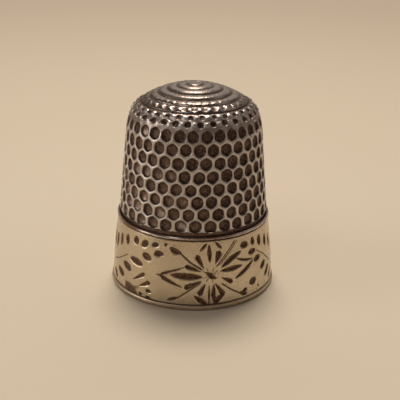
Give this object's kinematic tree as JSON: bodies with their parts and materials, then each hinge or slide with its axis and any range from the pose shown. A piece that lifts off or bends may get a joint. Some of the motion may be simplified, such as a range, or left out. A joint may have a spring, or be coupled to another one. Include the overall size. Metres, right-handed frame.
{
  "type": "sewing thimble",
  "caption": "Finger thimble: a domed metal cup with a ringed crown, a honeycomb-dimpled wall, a collar bead, a flared ornamental band and a rolled rim round its open mouth.",
  "frame": {"origin": "centre of the open mouth, on the plane the rim stands on", "axes": "+Z along the thimble's axis, from the mouth up to the crown; +X and +Y are radial, and -Y points at the front of the band's pattern"},
  "size_m": [0.0174, 0.0174, 0.0211],
  "materials": {
    "oxidised_silver": "worn satin silver, grey-brown, with near-black tarnish in the recesses",
    "polished_silver": "soft polish with a warm tone, fine handling scratches and dark tarnish in the cuts"
  },
  "bodies": {
    "root": {"crown_cap": "oxidised_silver", "honeycomb_wall": "oxidised_silver", "collar_bead": "polished_silver", "engraved_band": "polished_silver", "rim_roll": "polished_silver"}
  },
  "joints": []
}
